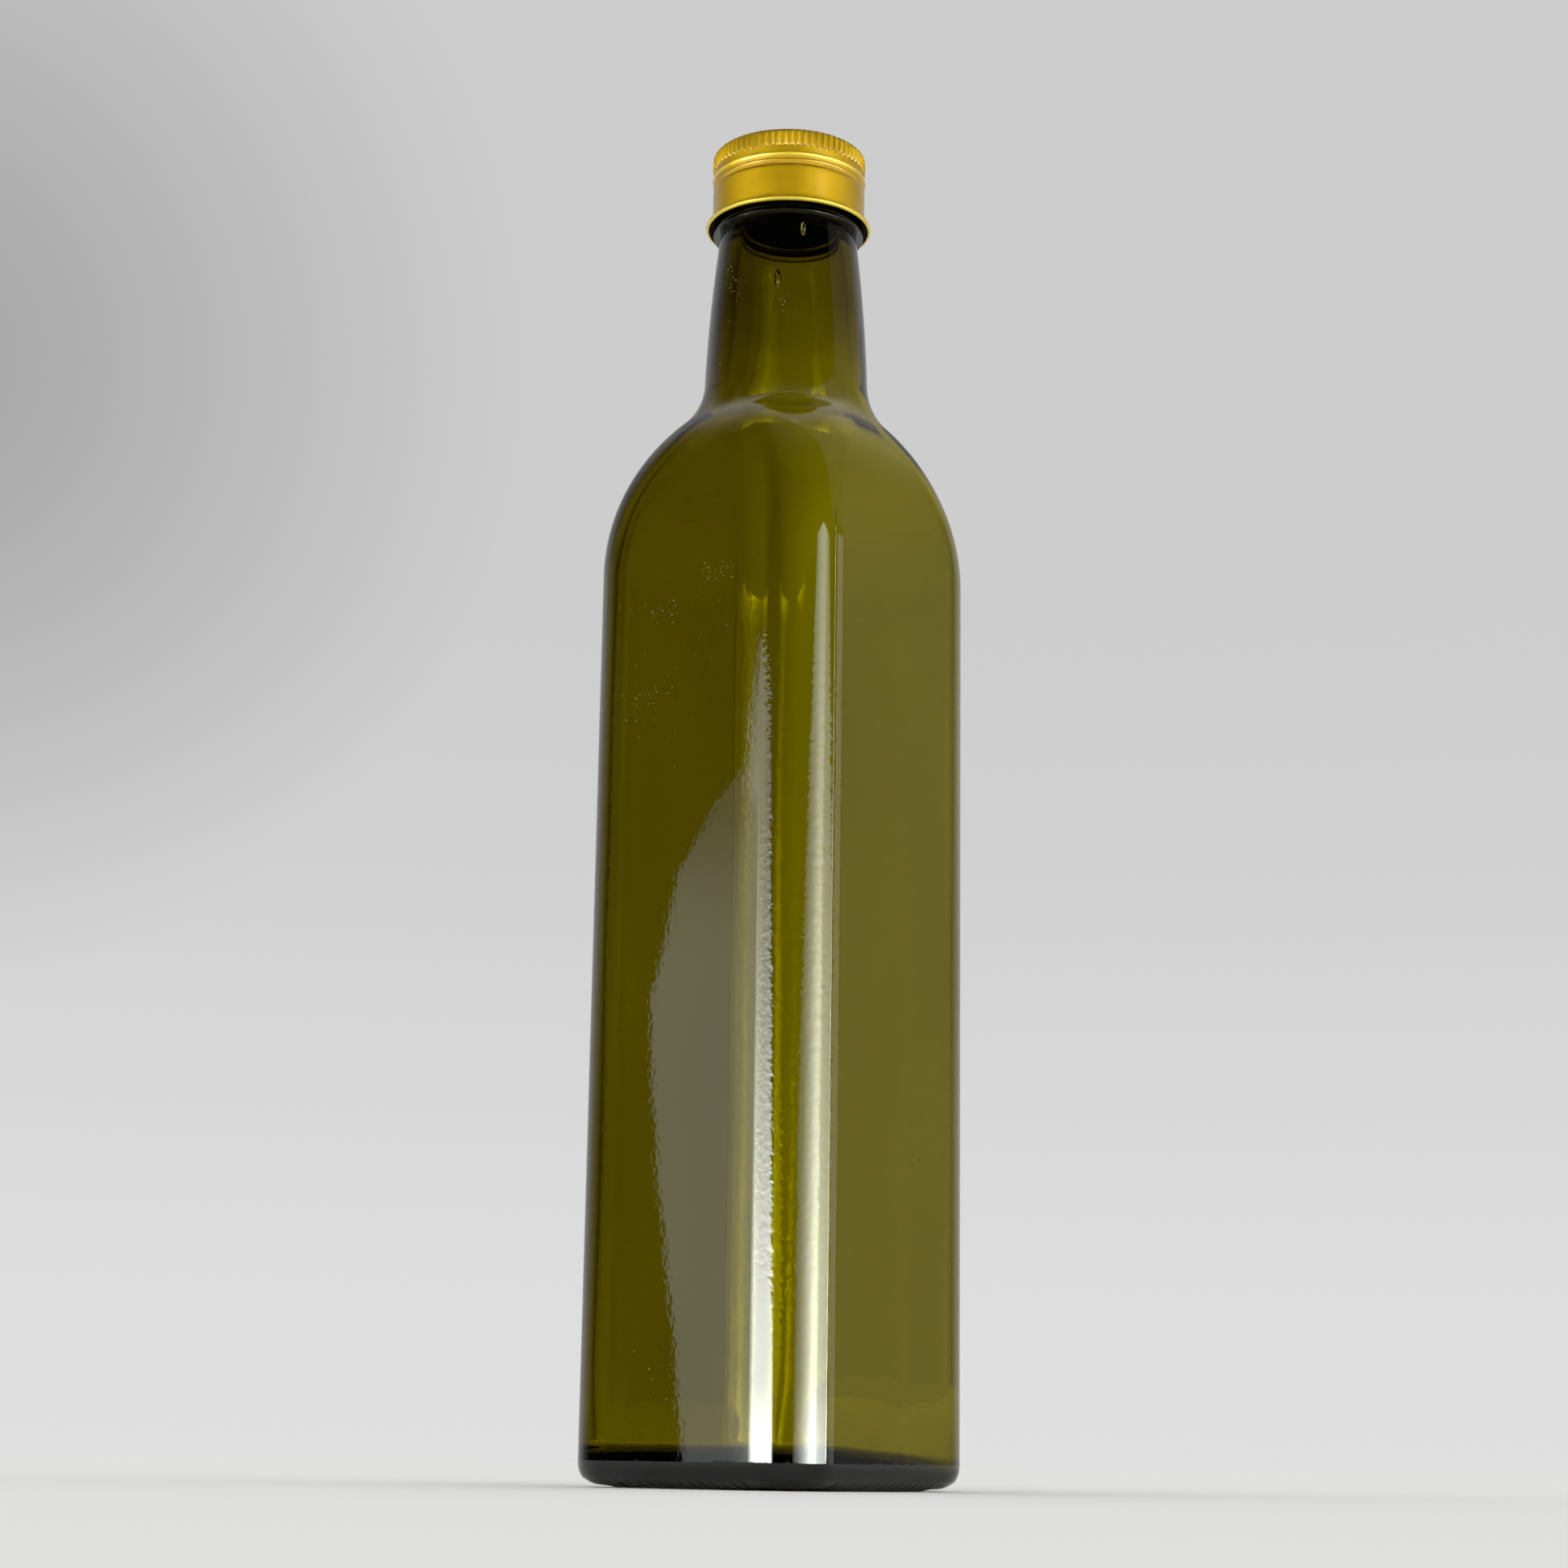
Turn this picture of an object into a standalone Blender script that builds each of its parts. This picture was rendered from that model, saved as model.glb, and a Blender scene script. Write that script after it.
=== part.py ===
"""Square glass oil bottle with its gold aluminium screw cap, empty and closed.

Metres, +Z up. The origin is the middle of the base on the surface the bottle stands on,
and the four flat faces look along +X, -X, +Y and -Y.
"""

import math
from collections import namedtuple

import bmesh
import bpy

# Overall size
TOTAL_HEIGHT = 0.267
SIDE = 0.057
CORNER_RADIUS = 0.0108
WALL = 0.0028

# Base: a flat bearing band round a shallow push-up, and a thick floor
HEEL_RADIUS = 0.0045
BEARING_WIDTH = 0.0036
PUSH_UP = 0.0018
FLOOR_THICKNESS = 0.0056
INNER_HEEL_RADIUS = 0.0038
FLOOR_CROWN = 0.0012

# Shoulder: a dome that turns over and meets the neck in a hollow curve
SHOULDER_START = 0.1758
SHOULDER_RADIUS = 0.0407
SHOULDER_TILT = math.radians(49.8)
SHOULDER_BLEND = 1.8
NECK_FILLET_RADIUS = 0.0139

# Neck: round, slightly barrelled, narrowing towards the cap
NECK_TILT = math.radians(2.0)
NECK_TOP = 0.2493
NECK_TOP_RADIUS = 0.0139

# Finish: the collar under the cap and the plain cylinder that the cap covers
COLLAR_RADIUS = 0.0153
COLLAR_HEIGHT = 0.0020
COLLAR_ROUND = 0.0004
FINISH_RADIUS = 0.0143
FINISH_FOOT = 0.0006
LIP_ROUND = 0.0009
LIP_GAP = 0.00035

# Cap: knurled band, groove, ring bead, plain skirt and rolled rim
CAP_SHEET = 0.0004
CAP_EDGE_ROUND = 0.0012
CAP_RADIUS = 0.01565
CAP_RIDGES = 72
RIDGE_DEPTH = 0.00042
KNURL_HEIGHT = 0.0022
FLUTE_FOOT = 0.0004
GROOVE_RADIUS = 0.0152
GROOVE_HEIGHT = 0.0014
BEAD_HEIGHT = 0.0024
BEAD_RISE = 0.00055
SKIRT_RADIUS = 0.01555
SKIRT_STEP = 0.0004
ROLL_RADIUS = 0.00045
ROLL_OUTER_RADIUS = 0.0169
ROLL_BOTTOM = 0.2508
CAP_BORE_RADIUS = 0.0149

# Facets
FLAT_STEPS = 5
CORNER_STEPS = 4
HEEL_STEPS = 4
SHOULDER_STEPS = 9
FILLET_STEPS = 5
NECK_STEPS = 3
BEAD_STEPS = 4
ROLL_STEPS = 5

# A level outline: its height, half its width across the flats and its corner radius
Ring = namedtuple("Ring", "height half_width corner")

QUARTER_TURN = math.pi / 2
ROOT_TWO = math.sqrt(2.0)


def clear_scene():
    for existing in list(bpy.data.objects):
        bpy.data.objects.remove(existing, do_unlink=True)


def outline_angles():
    """Directions round the axis, closer together at the corners, where the outline turns."""
    corner_start = math.atan2(SIDE / 2 - CORNER_RADIUS, SIDE / 2)
    corner_middle = QUARTER_TURN / 2
    eighth = [corner_start * step / FLAT_STEPS for step in range(FLAT_STEPS)]
    for step in range(CORNER_STEPS + 1):
        eighth.append(corner_start + (corner_middle - corner_start) * step / CORNER_STEPS)
    quarter = eighth + [QUARTER_TURN - angle for angle in reversed(eighth[1:-1])]
    return [turn * QUARTER_TURN + angle for turn in range(4) for angle in quarter]


def outline_radius(angle, ring):
    """Distance from the axis to a rounded square, in one direction."""
    from_flat = abs((angle + QUARTER_TURN / 2) % QUARTER_TURN - QUARTER_TURN / 2)
    centre = ring.half_width - ring.corner
    if math.tan(from_flat) * ring.half_width <= centre:
        return ring.half_width / math.cos(from_flat)
    along = centre * (math.cos(from_flat) + math.sin(from_flat))
    return along + math.sqrt(max(ring.corner**2 - 2 * centre**2 + along**2, 0.0))


def round_ring(height, radius):
    return Ring(height, radius, radius)


def inset(ring, sideways, down):
    """The same outline moved inwards by one distance and down by another."""
    return Ring(ring.height - down, ring.half_width - sideways, ring.corner - sideways)


def body_ring(height):
    return Ring(height, SIDE / 2, CORNER_RADIUS)


def push_up_rings():
    """The hollow under the base, from next to its middle out to the bearing band."""
    edge = SIDE / 2 - HEEL_RADIUS - BEARING_WIDTH
    rings = []
    for share in (0.35, 0.7, 1.0):
        half_width = edge * share
        corner = half_width * CORNER_RADIUS / (SIDE / 2)
        rings.append(Ring(PUSH_UP * (1 - share**2), half_width, corner))
    return rings


def heel_rings():
    """The rounded edge between the bearing band and the upright faces."""
    rings = []
    for step in range(HEEL_STEPS + 1):
        turn = QUARTER_TURN * step / HEEL_STEPS
        inwards = HEEL_RADIUS * (1 - math.sin(turn))
        height = HEEL_RADIUS * (1 - math.cos(turn))
        rings.append(inset(body_ring(height), inwards, 0.0))
    return rings


def shoulder_path():
    """Height, diagonal reach and tilt of the wall, from the body up to the foot of the neck."""
    body_reach = ROOT_TWO * (SIDE / 2 - CORNER_RADIUS) + CORNER_RADIUS
    path = []
    for step in range(SHOULDER_STEPS + 1):
        tilt = SHOULDER_TILT * step / SHOULDER_STEPS
        height = SHOULDER_START + SHOULDER_RADIUS * math.sin(tilt)
        reach = body_reach - SHOULDER_RADIUS * (1 - math.cos(tilt))
        path.append((height, reach, tilt))
    dome_height, dome_reach, _ = path[-1]
    for step in range(1, FILLET_STEPS + 1):
        tilt = SHOULDER_TILT + (NECK_TILT - SHOULDER_TILT) * step / FILLET_STEPS
        height = dome_height + NECK_FILLET_RADIUS * (math.sin(SHOULDER_TILT) - math.sin(tilt))
        reach = dome_reach - NECK_FILLET_RADIUS * (math.cos(tilt) - math.cos(SHOULDER_TILT))
        path.append((height, reach, tilt))
    return path


def shoulder_rings():
    """Rings from the square body to the round neck, each with the tilt of its wall."""
    path = shoulder_path()
    neck_foot = path[-1][0]
    square = CORNER_RADIUS / (SIDE / 2)
    rings = []
    for height, reach, tilt in path:
        share = ((height - SHOULDER_START) / (neck_foot - SHOULDER_START)) ** SHOULDER_BLEND
        roundness = square + (1 - square) * share**2 * (3 - 2 * share)
        half_width = reach / (ROOT_TWO - (ROOT_TWO - 1) * roundness)
        rings.append((Ring(height, half_width, half_width * roundness), tilt))
    return rings


def neck_rings(foot):
    """Rings above the foot of the neck, whose wall leans in more and more, each with its tilt."""
    length = NECK_TOP - foot.height
    lean = -math.tan(NECK_TILT) * length
    bulge = NECK_TOP_RADIUS - foot.half_width - lean
    rings = []
    for step in range(1, NECK_STEPS + 1):
        share = step / NECK_STEPS
        radius = foot.half_width + lean * share + bulge * share**2
        tilt = -math.atan((lean + 2 * bulge * share) / length)
        rings.append((round_ring(foot.height + length * share, radius), tilt))
    return rings


def finish_rings():
    """The collar, the cylinder inside the cap and the rounded lip, from the outside to the bore."""
    collar_top = NECK_TOP + COLLAR_HEIGHT
    lip_top = TOTAL_HEIGHT - CAP_SHEET - LIP_GAP
    bore = NECK_TOP_RADIUS - WALL
    return [
        round_ring(NECK_TOP + COLLAR_ROUND, COLLAR_RADIUS - COLLAR_ROUND),
        round_ring(NECK_TOP + 2 * COLLAR_ROUND, COLLAR_RADIUS),
        round_ring(collar_top - COLLAR_ROUND, COLLAR_RADIUS),
        round_ring(collar_top, COLLAR_RADIUS - COLLAR_ROUND),
        round_ring(collar_top + FINISH_FOOT, FINISH_RADIUS),
        round_ring(lip_top - LIP_ROUND, FINISH_RADIUS),
        round_ring(lip_top, FINISH_RADIUS - LIP_ROUND),
        round_ring(lip_top, bore + LIP_ROUND),
        round_ring(lip_top - LIP_ROUND, bore),
    ]


def floor_rings():
    """The inner heel and the floor of the hollow, from the wall in towards the middle."""
    rings = []
    inner = inset(body_ring(FLOOR_THICKNESS), WALL, 0.0)
    for step in range(HEEL_STEPS + 1):
        turn = QUARTER_TURN * step / HEEL_STEPS
        inwards = INNER_HEEL_RADIUS * (1 - math.cos(turn))
        rise = INNER_HEEL_RADIUS * (1 - math.sin(turn))
        rings.append(inset(inner, inwards, -rise))
    edge = rings[-1]
    for share in (0.6, 0.3):
        height = edge.height + FLOOR_CROWN * (1 - share**2)
        rings.append(Ring(height, edge.half_width * share, edge.corner * share))
    return rings


def bottle_rings():
    """Every ring of the glass in order: under the base, up the outside, down the inside."""
    shoulder = shoulder_rings()
    outer = shoulder + neck_rings(shoulder[-1][0])
    inner = [inset(ring, WALL * math.cos(tilt), WALL * math.sin(tilt)) for ring, tilt in outer]
    rings = push_up_rings() + heel_rings()
    rings += [ring for ring, _ in outer]
    rings += finish_rings()
    rings += reversed(inner)
    rings += floor_rings()
    return rings


def close_rings(name, rings, bottom_middle, top_middle):
    """A closed mesh through rings of points, with a middle point before the first and after the last."""
    shell = bmesh.new()
    loops = [[shell.verts.new(point) for point in ring] for ring in rings]
    first = shell.verts.new((0.0, 0.0, bottom_middle))
    last = shell.verts.new((0.0, 0.0, top_middle))
    count = len(loops[0])
    for index in range(count):
        after = (index + 1) % count
        shell.faces.new((first, loops[0][after], loops[0][index]))
        shell.faces.new((last, loops[-1][index], loops[-1][after]))
        for below, above in zip(loops, loops[1:]):
            shell.faces.new((below[index], below[after], above[after], above[index]))
    bmesh.ops.recalc_face_normals(shell, faces=shell.faces)
    mesh = bpy.data.meshes.new(name)
    shell.to_mesh(mesh)
    shell.free()
    return mesh


def add_object(name, mesh, material):
    mesh.shade_smooth()
    mesh.set_sharp_from_angle(angle=math.radians(35))
    mesh.materials.append(material)
    piece = bpy.data.objects.new(name, mesh)
    bpy.context.scene.collection.objects.link(piece)
    return piece


def make_bottle():
    angles = outline_angles()
    rings = bottle_rings()
    points = []
    for ring in rings:
        reach = [outline_radius(angle, ring) for angle in angles]
        points.append(
            [(r * math.cos(a), r * math.sin(a), ring.height) for r, a in zip(reach, angles)]
        )
    floor_middle = FLOOR_THICKNESS + FLOOR_CROWN
    mesh = close_rings("bottle", points, PUSH_UP, floor_middle)
    return add_object("bottle", mesh, green_glass())


def cap_outer_profile():
    """Radius, height and ridge depth down the outside of the cap, from the edge of its top."""
    knurl_top = TOTAL_HEIGHT - CAP_EDGE_ROUND
    knurl_foot = knurl_top - KNURL_HEIGHT
    groove_top = knurl_foot - FLUTE_FOOT
    groove_foot = groove_top - GROOVE_HEIGHT
    bead_foot = groove_foot - BEAD_HEIGHT
    skirt_top = bead_foot - 2 * SKIRT_STEP
    slant = CAP_EDGE_ROUND * math.sin(QUARTER_TURN / 2)
    profile = [
        (CAP_RADIUS - CAP_EDGE_ROUND, TOTAL_HEIGHT, 0.0),
        (CAP_RADIUS - CAP_EDGE_ROUND + slant, knurl_top + slant, RIDGE_DEPTH / 2),
        (CAP_RADIUS, knurl_top, RIDGE_DEPTH),
        (CAP_RADIUS, knurl_foot, RIDGE_DEPTH),
        (GROOVE_RADIUS, groove_top, 0.0),
    ]
    for step in range(BEAD_STEPS + 1):
        share = step / BEAD_STEPS
        rise = BEAD_RISE * math.sin(math.pi * share)
        profile.append((GROOVE_RADIUS + rise, groove_foot - BEAD_HEIGHT * share, 0.0))
    profile += [
        (SKIRT_RADIUS - SKIRT_STEP / 2, skirt_top + SKIRT_STEP, 0.0),
        (SKIRT_RADIUS, skirt_top, 0.0),
        (SKIRT_RADIUS, ROLL_BOTTOM + 3 * ROLL_RADIUS, 0.0),
    ]
    return profile


def cap_roll_profile():
    """The rim, rolled outwards into a small round wire, from its outer top to its inner side."""
    centre_radius = ROLL_OUTER_RADIUS - ROLL_RADIUS
    centre_height = ROLL_BOTTOM + ROLL_RADIUS
    profile = []
    for step in range(ROLL_STEPS + 1):
        turn = math.radians(70) - math.radians(250) * step / ROLL_STEPS
        radius = centre_radius + ROLL_RADIUS * math.cos(turn)
        profile.append((radius, centre_height + ROLL_RADIUS * math.sin(turn), 0.0))
    return profile


def cap_inner_profile():
    """Up the inside of the cap, from the rolled rim to the underside of its top."""
    skirt_bore = SKIRT_RADIUS - CAP_SHEET
    skirt_foot = ROLL_BOTTOM + 3 * ROLL_RADIUS
    bore_foot = TOTAL_HEIGHT - CAP_EDGE_ROUND - KNURL_HEIGHT - FLUTE_FOOT - GROOVE_HEIGHT - BEAD_HEIGHT
    return [
        (skirt_bore, skirt_foot, 0.0),
        (CAP_BORE_RADIUS, bore_foot, 0.0),
        (CAP_BORE_RADIUS, TOTAL_HEIGHT - CAP_SHEET, 0.0),
    ]


def make_cap():
    profile = cap_outer_profile() + cap_roll_profile() + cap_inner_profile()
    count = 2 * CAP_RIDGES
    points = []
    for radius, height, depth in profile:
        ring = []
        for index in range(count):
            turn = 2 * math.pi * index / count
            reach = radius - depth * (index % 2)
            ring.append((reach * math.cos(turn), reach * math.sin(turn), height))
        points.append(ring)
    mesh = close_rings("cap", points, TOTAL_HEIGHT, TOTAL_HEIGHT - CAP_SHEET)
    return add_object("cap", mesh, gold_aluminium())


def principled(name, colour, roughness, metallic):
    material = bpy.data.materials.new(name)
    material.use_nodes = True
    shader = material.node_tree.nodes["Principled BSDF"]
    shader.inputs["Base Color"].default_value = (*colour, 1.0)
    shader.inputs["Roughness"].default_value = roughness
    shader.inputs["Metallic"].default_value = metallic
    material.diffuse_color = (*colour, 1.0)
    return material


def green_glass():
    """Olive green bottle glass."""
    material = principled("olive_glass", (0.16, 0.15, 0.01), 0.03, 0.0)
    shader = material.node_tree.nodes["Principled BSDF"]
    shader.inputs["Transmission Weight"].default_value = 1.0
    shader.inputs["IOR"].default_value = 1.52
    return material


def gold_aluminium():
    """Satin aluminium with a gold lacquer."""
    return principled("gold_aluminium", (0.68, 0.45, 0.04), 0.3, 1.0)


clear_scene()
make_bottle()
make_cap()
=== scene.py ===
"""Looks of the square glass oil bottle: olive green bottle glass and a gold aluminium screw cap.

Metres, +Z up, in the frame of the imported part. The bottle is empty and closed.
"""

import math
import random

import bmesh
import bpy
import numpy as np
from mathutils import Matrix, Vector, noise


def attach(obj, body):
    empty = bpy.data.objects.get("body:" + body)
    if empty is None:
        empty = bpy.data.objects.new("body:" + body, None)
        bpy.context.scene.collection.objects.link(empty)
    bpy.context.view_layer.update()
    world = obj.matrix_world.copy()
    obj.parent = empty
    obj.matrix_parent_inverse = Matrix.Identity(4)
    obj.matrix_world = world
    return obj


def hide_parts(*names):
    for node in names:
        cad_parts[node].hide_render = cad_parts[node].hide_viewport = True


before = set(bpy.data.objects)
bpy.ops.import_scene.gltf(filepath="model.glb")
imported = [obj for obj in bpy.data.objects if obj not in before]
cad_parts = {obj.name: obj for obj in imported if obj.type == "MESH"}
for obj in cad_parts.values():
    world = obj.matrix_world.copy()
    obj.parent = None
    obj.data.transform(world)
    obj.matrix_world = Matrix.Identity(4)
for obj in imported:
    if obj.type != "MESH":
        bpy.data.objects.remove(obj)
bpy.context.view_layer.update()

# Glass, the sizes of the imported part
TOTAL_HEIGHT = 0.267
SIDE = 0.057
CORNER_RADIUS = 0.0108
WALL = 0.0028
HEEL_RADIUS = 0.0045
BEARING_WIDTH = 0.0036
PUSH_UP = 0.0018
FLOOR_THICKNESS = 0.0056
FLOOR_CROWN = 0.0012
SHOULDER_START = 0.1758
SHOULDER_RADIUS = 0.0407
SHOULDER_TILT = math.radians(49.8)
SHOULDER_BLEND = 1.8
NECK_FILLET_RADIUS = 0.0139
NECK_TILT = math.radians(2.0)
NECK_TOP = 0.2493
NECK_TOP_RADIUS = 0.0139
COLLAR_RADIUS = 0.0153
COLLAR_HEIGHT = 0.0020
COLLAR_ROUND = 0.00015
FINISH_RADIUS = 0.0143
FINISH_FOOT = 0.0006
LIP_ROUND = 0.0009
LIP_GAP = 0.00035

# Small diagonal ridges on the four bearing strips of the base
RIDGE_PITCH = 0.00245
RIDGE_RISE = 0.00045
RIDGE_STRIP = 0.0153
RIDGE_SLANT = 0.5
RIDGE_TOP = 0.0016

# The blown inner wall: a tight turn at the floor, broad waves, ripples in its low part, a hollow that sits off
# centre, so that two walls are thicker than the others, one corner with less glass, a floor that slopes near
# one side, and more glass in the neck
INNER_HEEL_RADIUS = 0.0026
WAVE_DEPTH = 0.00016
WAVE_LENGTH = 0.024
WAVE_STRETCH = 0.6
WAVE_FADE = 0.004
RIPPLE_DEPTH = 0.0002
RIPPLE_LENGTH = 0.006
LOW_PART = 0.02
OFF_CENTRE = 0.0005
CORNER_PULL = 0.0005
PULLED_CORNER = -135
PULL_WIDTH = 14
FLOOR_TILT = 0.06
TILT_START = -0.0177
NECK_EXTRA = 0.0012

# Blisters in the glass of the neck: turn from the camera's side in degrees, height, and half sizes across,
# up and through the wall; then how deep they sit
BLISTERS = [
    (12.5, 0.2461, (0.0008, 0.0017, 0.0004)),
    (-7.7, 0.2347, (0.0006, 0.0020, 0.0003)),
]
BLISTER_DEPTH = 0.0007

# Dust on the glass: the face or neck that it lies on, its middle along and up, its spread along and up, and
# the number of grains. Along is millimetres from the middle of a face, or degrees from the camera's side on
# the neck; up is millimetres.
DUST = [
    ("left", 6.5, 170.0, 5.0, 3.0, 34),
    ("left", -8.3, 164.0, 7.0, 3.0, 26),
    ("left", -10.0, 146.0, 7.0, 6.0, 44),
    ("left", -2.0, 155.0, 12.0, 16.0, 20),
    ("left", -3.4, 19.0, 7.0, 6.0, 20),
    ("right", -10.3, 145.0, 8.0, 20.0, 7),
    ("right", 9.0, 60.0, 8.0, 50.0, 14),
    ("neck", -50.0, 234.0, 16.0, 9.0, 34),
    ("neck", -4.6, 229.0, 5.0, 2.0, 8),
]
DUST_EDGE = 17.0
DUST_SEED = 7
# Half the width of the smallest grain, and what the largest adds; finer dust would be real, but wouldn't show
GRAIN_SIZE = 0.00007
GRAIN_SPREAD = 0.00009

# The mould seams: how far they stand from the middle of a face
SEAM_PLACE = 0.01996

# Cap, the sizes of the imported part
CAP_SHEET = 0.0004
CAP_EDGE_ROUND = 0.0012
CAP_RADIUS = 0.01565
CAP_RIDGES = 72
RIDGE_DEPTH = 0.00042
KNURL_HEIGHT = 0.0022
FLUTE_FOOT = 0.0004
GROOVE_RADIUS = 0.0152
GROOVE_HEIGHT = 0.0014
BEAD_HEIGHT = 0.0024
# The double bead: share of its height, and how far it stands out
BEAD = [
    (0.0, 0.00008), (0.03, 0.00030), (0.07, 0.00048), (0.12, 0.00055), (0.2, 0.00053), (0.3, 0.00046),
    (0.4, 0.00038), (0.48, 0.00031), (0.53, 0.00025), (0.56, 0.00022), (0.59, 0.00028), (0.64, 0.00036),
    (0.72, 0.00034), (0.82, 0.00025), (0.92, 0.00013), (1.0, 0.0),
]
SKIRT_RADIUS = 0.01555
SKIRT_STEP = 0.0004
ROLL_RADIUS = 0.00045
ROLL_OUTER_RADIUS = 0.0169
ROLL_BOTTOM = 0.2508
CAP_BORE_RADIUS = 0.0149
BORE_STEP = 0.0008
BORE_ROUND = 0.0006
# Where on the way down from the knurl's top its flutes begin to run out
FLUTE_END = 0.68

# Edges that turn by more than this stay sharp
SHARP_EDGE = math.radians(50)

# Points round one quarter of the bottle, and round one flute of the cap
FLAT_POINTS = 84
CORNER_POINTS = 24
FLUTE_POINTS = 10

# Camera: distance from the bottle's axis, height, compass angle, aim, and lens on a 36 mm sensor
CAMERA_DISTANCE = 0.56964
CAMERA_HEIGHT = 0.00491
CAMERA_ANGLE = math.radians(-51.886)
CAMERA_PAN = math.radians(0.079)
CAMERA_PITCH = math.radians(12.853)
CAMERA_ROLL = math.radians(0.85)
CAMERA_LENS = 68.28

# Glass finish: orange peel with bumps about 1 mm across, full on the round corners, faint on the flat faces,
# and faint again where the height is past PEEL_REACH from PEEL_MIDDLE, near the heel and the shoulder; a slow
# sag; and mould seams that stand out a little
PEEL_PER_METRE = (950.0, 950.0, 800.0)
PEEL_DEPTH = 0.000032
PEEL_FAINT = 0.045
PEEL_MIDDLE = 0.0905
PEEL_REACH = (0.052, 0.075)
SAG_PER_METRE = 70.0
SAG_DEPTH = 0.00001
SEAM_WIDTH = 0.00016
SEAM_RISE = 0.00004
# x times y, where the flat of a face ends and its round corner begins
CORNER_BEGINS = (0.0005, 0.000525)

# Cap finish: turning lines about 0.1 mm apart, coarser than the real ones so that they show
LINES_PER_METRE = (60.0, 60.0, 9000.0)
LINE_DEPTH = 0.0000006
# Radii across which the cap's colour turns to a paler gold: a painted highlight on the bead, the ribs and the
# rolled rim
PAINTED_HIGHLIGHT_RADIUS = (0.01558, 0.0157)

# The way to the shade on the backdrop, with x towards the camera, y to its right and z up
BACKDROP_SHADE_WAY = (-0.894, -0.289, 0.341)

# Studio light, in the same terms. Compass angles are degrees from the camera's side, and rises are degrees.
PANEL_TINT = (0.94, 1.0, 0.96)
PANEL_RISE = 20.0
LEFT_PANEL_LIGHT = 26.0
RIGHT_PANEL_LIGHT = 31.0
RIGHT_PANEL_SPAN = 110.0
RIGHT_PANEL_POINT = 50.0
SPILL_LIGHT = 1.5
SLIVER_LIGHT = 1.2
SOFT_FILL = 0.95
DARK_ROOM = 0.012
PALE_ROOM = 0.62

QUARTER_TURN = math.pi / 2
ROOT_TWO = math.sqrt(2.0)


def linear(hex_colour):
    """A colour written as sRGB hex, as linear red, green and blue."""
    channels = [int(hex_colour[i : i + 2], 16) / 255 for i in (0, 2, 4)]
    return tuple(c / 12.92 if c <= 0.04045 else ((c + 0.055) / 1.055) ** 2.4 for c in channels)


def add_node(tree, kind, inputs=None, stops=None, **settings):
    """Adds a node; each input is a value or another node's output, and stops fill its colour ramp."""
    node = tree.nodes.new(kind)
    for name, value in settings.items():
        setattr(node, name, value)
    if stops:
        ramp = node.color_ramp.elements
        while len(ramp) < len(stops):
            ramp.new(1.0)
        for element, (position, level) in zip(ramp, stops):
            element.position = position
            element.color = (*level, 1.0) if isinstance(level, tuple) else (level, level, level, 1.0)
    for socket, value in (inputs or {}).items():
        if isinstance(value, bpy.types.NodeSocket):
            tree.links.new(value, node.inputs[socket])
        else:
            node.inputs[socket].default_value = value
    return node


def new_material(name):
    material = bpy.data.materials.new(name)
    material.use_nodes = True
    tree = material.node_tree
    return material, tree, tree.nodes["Principled BSDF"]


def add_piece(name, mesh, material, replaced=None):
    mesh.materials.append(material)
    piece = bpy.data.objects.new(name, mesh)
    bpy.context.scene.collection.objects.link(piece)
    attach(piece, "root")
    if replaced:
        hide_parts(replaced)
    return piece


# Glass

def column_angles():
    """Directions round the axis, evenly spaced along the flats and round the corners."""
    reach = SIDE / 2
    flat = reach - CORNER_RADIUS
    quarter = []
    for step in range(FLAT_POINTS):
        quarter.append(math.atan2(-flat + 2 * flat * step / FLAT_POINTS, reach))
    for step in range(CORNER_POINTS):
        turn = QUARTER_TURN * step / CORNER_POINTS
        across = flat + CORNER_RADIUS * math.sin(turn)
        quarter.append(math.atan2(across, flat + CORNER_RADIUS * math.cos(turn)))
    return np.array([turn * QUARTER_TURN + angle for turn in range(4) for angle in quarter])


def outline(angles, ring):
    """Points of a level rounded square, given as its height, half width and corner radius."""
    height, half_width, corner = ring
    from_flat = np.abs((angles + QUARTER_TURN / 2) % QUARTER_TURN - QUARTER_TURN / 2)
    centre = half_width - corner
    along = centre * (np.cos(from_flat) + np.sin(from_flat))
    round_part = along + np.sqrt(np.maximum(corner**2 - 2 * centre**2 + along**2, 0.0))
    flat_part = half_width / np.cos(from_flat)
    radius = np.where(np.tan(from_flat) * half_width <= centre, flat_part, round_part)
    return np.stack([radius * np.cos(angles), radius * np.sin(angles), np.full_like(angles, height)], 1)


def shoulder_path():
    """Height, diagonal reach and tilt of the wall, from the body up to the foot of the neck."""
    body_reach = ROOT_TWO * (SIDE / 2 - CORNER_RADIUS) + CORNER_RADIUS
    path = []
    for tilt in np.linspace(0.0, SHOULDER_TILT, 22):
        height = SHOULDER_START + SHOULDER_RADIUS * math.sin(tilt)
        path.append((height, body_reach - SHOULDER_RADIUS * (1 - math.cos(tilt)), tilt))
    dome_height, dome_reach, _ = path[-1]
    for tilt in np.linspace(SHOULDER_TILT, NECK_TILT, 13)[1:]:
        height = dome_height + NECK_FILLET_RADIUS * (math.sin(SHOULDER_TILT) - math.sin(tilt))
        reach = dome_reach - NECK_FILLET_RADIUS * (math.cos(tilt) - math.cos(SHOULDER_TILT))
        path.append((height, reach, tilt))
    return path


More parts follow.
